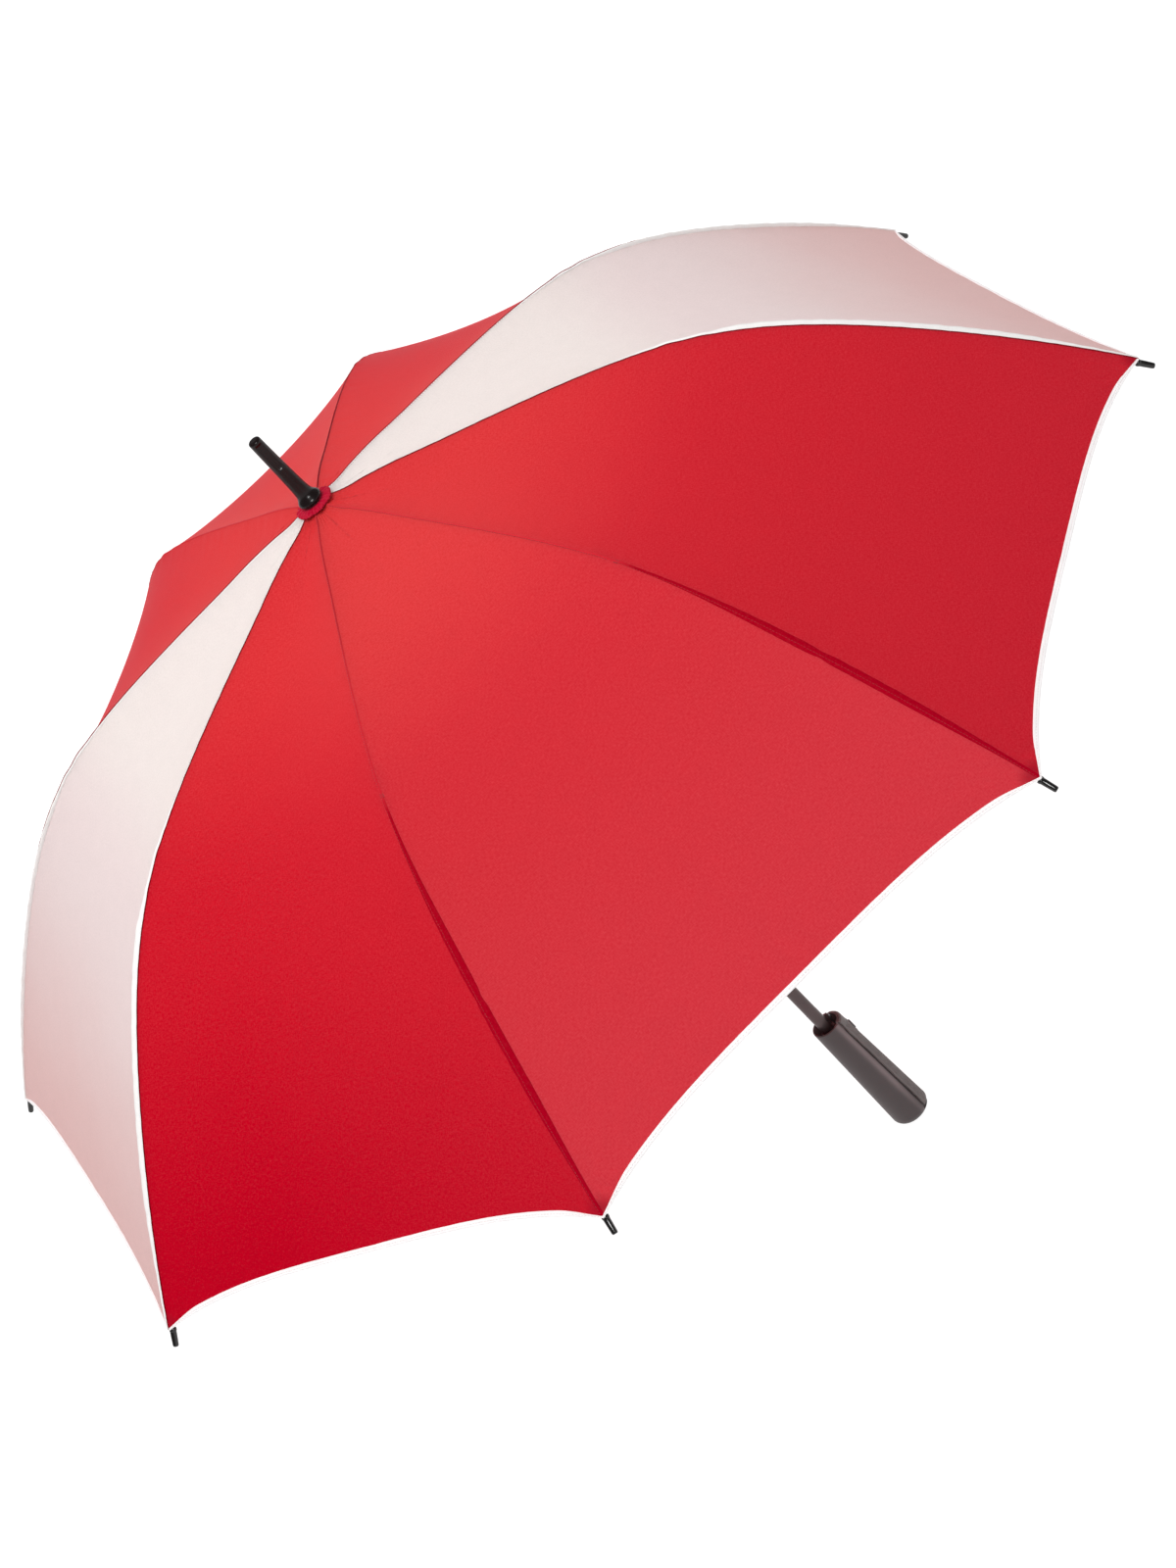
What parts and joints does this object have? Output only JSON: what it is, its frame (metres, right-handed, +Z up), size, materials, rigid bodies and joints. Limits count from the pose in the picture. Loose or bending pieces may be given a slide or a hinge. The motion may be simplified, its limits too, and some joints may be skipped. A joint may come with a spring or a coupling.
{
  "type": "golf umbrella",
  "caption": "Open stick golf umbrella: arched fabric canopy on folding ribs and stretchers, sliding runner, straight handle with release button.",
  "frame": {"origin": "on the shaft's axis, at the handle's flat end", "axes": "+Z up the shaft to the ferrule; the two white panels face +X and -X; -Y faces the viewer"},
  "size_m": [1.2166, 1.2166, 1.014],
  "materials": {
    "fabric_red": "red translucent pongee, fine plain weave",
    "fabric_white": "white pongee, fine plain weave",
    "fabric_crimson": "gathered crimson fabric",
    "shaft": "satin dark grey tube",
    "fibreglass": "black fibreglass rod",
    "plastic_black": "satin black moulding",
    "runner_plastic": "black moulding",
    "handle": "dark warm grey soft-touch",
    "handle_strip": "finely ribbed grey",
    "button": "dark grey",
    "spring_steel": "spring steel"
  },
  "bodies": {
    "root": {"shaft": "shaft", "ferrule": "plastic_black", "crown_rosette": "fabric_crimson", "top_notch": "runner_plastic", "handle_body": "handle", "handle_strip": "handle_strip", "opening_spring": "spring_steel"},
    "runner": {"runner": "runner_plastic", "spring_plunger": "spring_steel"},
    "button": {"release_button": "button", "latch_lever": "spring_steel"},
    "rib_1_inner": {"rib_1_inner": "fibreglass", "panel_1_inner": "fabric_red"},
    "rib_1_outer": {"rib_1_outer": "fibreglass", "panel_1_outer": "fabric_red", "rib_tip_1": "plastic_black"},
    "stretcher_1": {"stretcher_1": "fibreglass"},
    "rib_2_inner": {"rib_2_inner": "fibreglass", "panel_2_inner": "fabric_red"},
    "rib_2_outer": {"rib_2_outer": "fibreglass", "panel_2_outer": "fabric_red", "rib_tip_2": "plastic_black"},
    "stretcher_2": {"stretcher_2": "fibreglass"},
    "rib_3_inner": {"rib_3_inner": "fibreglass", "panel_3_inner": "fabric_red"},
    "rib_3_outer": {"rib_3_outer": "fibreglass", "panel_3_outer": "fabric_red", "rib_tip_3": "plastic_black"},
    "stretcher_3": {"stretcher_3": "fibreglass"},
    "rib_4_inner": {"rib_4_inner": "fibreglass", "panel_4_inner": "fabric_white"},
    "rib_4_outer": {"rib_4_outer": "fibreglass", "panel_4_outer": "fabric_white", "rib_tip_4": "plastic_black"},
    "stretcher_4": {"stretcher_4": "fibreglass"},
    "rib_5_inner": {"rib_5_inner": "fibreglass", "panel_5_inner": "fabric_red"},
    "rib_5_outer": {"rib_5_outer": "fibreglass", "panel_5_outer": "fabric_red", "rib_tip_5": "plastic_black"},
    "stretcher_5": {"stretcher_5": "fibreglass"},
    "rib_6_inner": {"rib_6_inner": "fibreglass", "panel_6_inner": "fabric_red"},
    "rib_6_outer": {"rib_6_outer": "fibreglass", "panel_6_outer": "fabric_red", "rib_tip_6": "plastic_black", "closing_strap": "fabric_red"},
    "stretcher_6": {"stretcher_6": "fibreglass"},
    "rib_7_inner": {"rib_7_inner": "fibreglass", "panel_7_inner": "fabric_red"},
    "rib_7_outer": {"rib_7_outer": "fibreglass", "panel_7_outer": "fabric_red", "rib_tip_7": "plastic_black"},
    "stretcher_7": {"stretcher_7": "fibreglass"},
    "rib_8_inner": {"rib_8_inner": "fibreglass", "panel_8_inner": "fabric_white"},
    "rib_8_outer": {"rib_8_outer": "fibreglass", "panel_8_outer": "fabric_white", "rib_tip_8": "plastic_black"},
    "stretcher_8": {"stretcher_8": "fibreglass"}
  },
  "joints": [
    {"name": "runner_slide", "type": "slide", "parent": "root", "child": "runner", "axis": [0, 0, 1], "range_m": [-0.43354, 0], "deforming": ["panel_1_inner", "panel_1_outer", "panel_2_inner", "panel_2_outer", "panel_3_inner", "panel_3_outer", "panel_4_inner", "panel_4_outer", "panel_5_inner", "panel_5_outer", "panel_6_inner", "panel_6_outer", "panel_7_inner", "panel_7_outer", "panel_8_inner", "panel_8_outer", "closing_strap", "opening_spring"]},
    {"name": "button_press", "type": "slide", "parent": "root", "child": "button", "axis": [-1, 0, 0], "range_m": [0, 0.0022], "stiffness_N_per_m": 400},
    {"name": "rib_1_fold", "type": "hinge", "parent": "root", "child": "rib_1_inner", "pos_m": [0.01016, -0.00421, 0.92576], "axis": [0.3827, 0.9239, 0], "range_deg": [0, 75.96]},
    {"name": "rib_1_flex", "type": "hinge", "parent": "rib_1_inner", "child": "rib_1_outer", "pos_m": [0.32297, -0.13378, 0.84953], "axis": [0.3827, 0.9239, 0], "range_deg": [-28.86, 0]},
    {"name": "stretcher_1_fold", "type": "hinge", "parent": "rib_1_inner", "child": "stretcher_1", "pos_m": [0.31505, -0.1305, 0.84552], "axis": [0.3827, 0.9239, 0], "range_deg": [-131.96, 0]},
    {"name": "rib_2_fold", "type": "hinge", "parent": "root", "child": "rib_2_inner", "pos_m": [0.00421, -0.01016, 0.92576], "axis": [0.9239, 0.3827, 0], "range_deg": [0, 75.96]},
    {"name": "rib_2_flex", "type": "hinge", "parent": "rib_2_inner", "child": "rib_2_outer", "pos_m": [0.13378, -0.32297, 0.84953], "axis": [0.9239, 0.3827, 0], "range_deg": [-28.86, 0]},
    {"name": "stretcher_2_fold", "type": "hinge", "parent": "rib_2_inner", "child": "stretcher_2", "pos_m": [0.1305, -0.31505, 0.84552], "axis": [0.9239, 0.3827, 0], "range_deg": [-131.96, 0]},
    {"name": "rib_3_fold", "type": "hinge", "parent": "root", "child": "rib_3_inner", "pos_m": [-0.00421, -0.01016, 0.92576], "axis": [0.9239, -0.3827, 0], "range_deg": [0, 75.96]},
    {"name": "rib_3_flex", "type": "hinge", "parent": "rib_3_inner", "child": "rib_3_outer", "pos_m": [-0.13378, -0.32297, 0.84953], "axis": [0.9239, -0.3827, 0], "range_deg": [-28.86, 0]},
    {"name": "stretcher_3_fold", "type": "hinge", "parent": "rib_3_inner", "child": "stretcher_3", "pos_m": [-0.1305, -0.31505, 0.84552], "axis": [0.9239, -0.3827, 0], "range_deg": [-131.96, 0]},
    {"name": "rib_4_fold", "type": "hinge", "parent": "root", "child": "rib_4_inner", "pos_m": [-0.01016, -0.00421, 0.92576], "axis": [0.3827, -0.9239, 0], "range_deg": [0, 75.96]},
    {"name": "rib_4_flex", "type": "hinge", "parent": "rib_4_inner", "child": "rib_4_outer", "pos_m": [-0.32297, -0.13378, 0.84953], "axis": [0.3827, -0.9239, 0], "range_deg": [-28.86, 0]},
    {"name": "stretcher_4_fold", "type": "hinge", "parent": "rib_4_inner", "child": "stretcher_4", "pos_m": [-0.31505, -0.1305, 0.84552], "axis": [0.3827, -0.9239, 0], "range_deg": [-131.96, 0]},
    {"name": "rib_5_fold", "type": "hinge", "parent": "root", "child": "rib_5_inner", "pos_m": [-0.01016, 0.00421, 0.92576], "axis": [-0.3827, -0.9239, 0], "range_deg": [0, 75.96]},
    {"name": "rib_5_flex", "type": "hinge", "parent": "rib_5_inner", "child": "rib_5_outer", "pos_m": [-0.32297, 0.13378, 0.84953], "axis": [-0.3827, -0.9239, 0], "range_deg": [-28.86, 0]},
    {"name": "stretcher_5_fold", "type": "hinge", "parent": "rib_5_inner", "child": "stretcher_5", "pos_m": [-0.31505, 0.1305, 0.84552], "axis": [-0.3827, -0.9239, 0], "range_deg": [-131.96, 0]},
    {"name": "rib_6_fold", "type": "hinge", "parent": "root", "child": "rib_6_inner", "pos_m": [-0.00421, 0.01016, 0.92576], "axis": [-0.9239, -0.3827, 0], "range_deg": [0, 75.96]},
    {"name": "rib_6_flex", "type": "hinge", "parent": "rib_6_inner", "child": "rib_6_outer", "pos_m": [-0.13378, 0.32297, 0.84953], "axis": [-0.9239, -0.3827, 0], "range_deg": [-28.86, 0]},
    {"name": "stretcher_6_fold", "type": "hinge", "parent": "rib_6_inner", "child": "stretcher_6", "pos_m": [-0.1305, 0.31505, 0.84552], "axis": [-0.9239, -0.3827, 0], "range_deg": [-131.96, 0]},
    {"name": "rib_7_fold", "type": "hinge", "parent": "root", "child": "rib_7_inner", "pos_m": [0.00421, 0.01016, 0.92576], "axis": [-0.9239, 0.3827, 0], "range_deg": [0, 75.96]},
    {"name": "rib_7_flex", "type": "hinge", "parent": "rib_7_inner", "child": "rib_7_outer", "pos_m": [0.13378, 0.32297, 0.84953], "axis": [-0.9239, 0.3827, 0], "range_deg": [-28.86, 0]},
    {"name": "stretcher_7_fold", "type": "hinge", "parent": "rib_7_inner", "child": "stretcher_7", "pos_m": [0.1305, 0.31505, 0.84552], "axis": [-0.9239, 0.3827, 0], "range_deg": [-131.96, 0]},
    {"name": "rib_8_fold", "type": "hinge", "parent": "root", "child": "rib_8_inner", "pos_m": [0.01016, 0.00421, 0.92576], "axis": [-0.3827, 0.9239, 0], "range_deg": [0, 75.96]},
    {"name": "rib_8_flex", "type": "hinge", "parent": "rib_8_inner", "child": "rib_8_outer", "pos_m": [0.32297, 0.13378, 0.84953], "axis": [-0.3827, 0.9239, 0], "range_deg": [-28.86, 0]},
    {"name": "stretcher_8_fold", "type": "hinge", "parent": "rib_8_inner", "child": "stretcher_8", "pos_m": [0.31505, 0.1305, 0.84552], "axis": [-0.3827, 0.9239, 0], "range_deg": [-131.96, 0]}
  ],
  "couplings": [
    {"joint": "rib_1_fold", "follows": "runner_slide", "rad_per_m": -3.0558},
    {"joint": "rib_1_flex", "follows": "runner_slide", "rad_per_m": 1.1598},
    {"joint": "stretcher_1_fold", "follows": "runner_slide", "rad_per_m": 5.3105},
    {"joint": "rib_2_fold", "follows": "runner_slide", "rad_per_m": -3.0558},
    {"joint": "rib_2_flex", "follows": "runner_slide", "rad_per_m": 1.1598},
    {"joint": "stretcher_2_fold", "follows": "runner_slide", "rad_per_m": 5.3105},
    {"joint": "rib_3_fold", "follows": "runner_slide", "rad_per_m": -3.0558},
    {"joint": "rib_3_flex", "follows": "runner_slide", "rad_per_m": 1.1598},
    {"joint": "stretcher_3_fold", "follows": "runner_slide", "rad_per_m": 5.3105},
    {"joint": "rib_4_fold", "follows": "runner_slide", "rad_per_m": -3.0558},
    {"joint": "rib_4_flex", "follows": "runner_slide", "rad_per_m": 1.1598},
    {"joint": "stretcher_4_fold", "follows": "runner_slide", "rad_per_m": 5.3105},
    {"joint": "rib_5_fold", "follows": "runner_slide", "rad_per_m": -3.0558},
    {"joint": "rib_5_flex", "follows": "runner_slide", "rad_per_m": 1.1598},
    {"joint": "stretcher_5_fold", "follows": "runner_slide", "rad_per_m": 5.3105},
    {"joint": "rib_6_fold", "follows": "runner_slide", "rad_per_m": -3.0558},
    {"joint": "rib_6_flex", "follows": "runner_slide", "rad_per_m": 1.1598},
    {"joint": "stretcher_6_fold", "follows": "runner_slide", "rad_per_m": 5.3105},
    {"joint": "rib_7_fold", "follows": "runner_slide", "rad_per_m": -3.0558},
    {"joint": "rib_7_flex", "follows": "runner_slide", "rad_per_m": 1.1598},
    {"joint": "stretcher_7_fold", "follows": "runner_slide", "rad_per_m": 5.3105},
    {"joint": "rib_8_fold", "follows": "runner_slide", "rad_per_m": -3.0558},
    {"joint": "rib_8_flex", "follows": "runner_slide", "rad_per_m": 1.1598},
    {"joint": "stretcher_8_fold", "follows": "runner_slide", "rad_per_m": 5.3105}
  ]
}
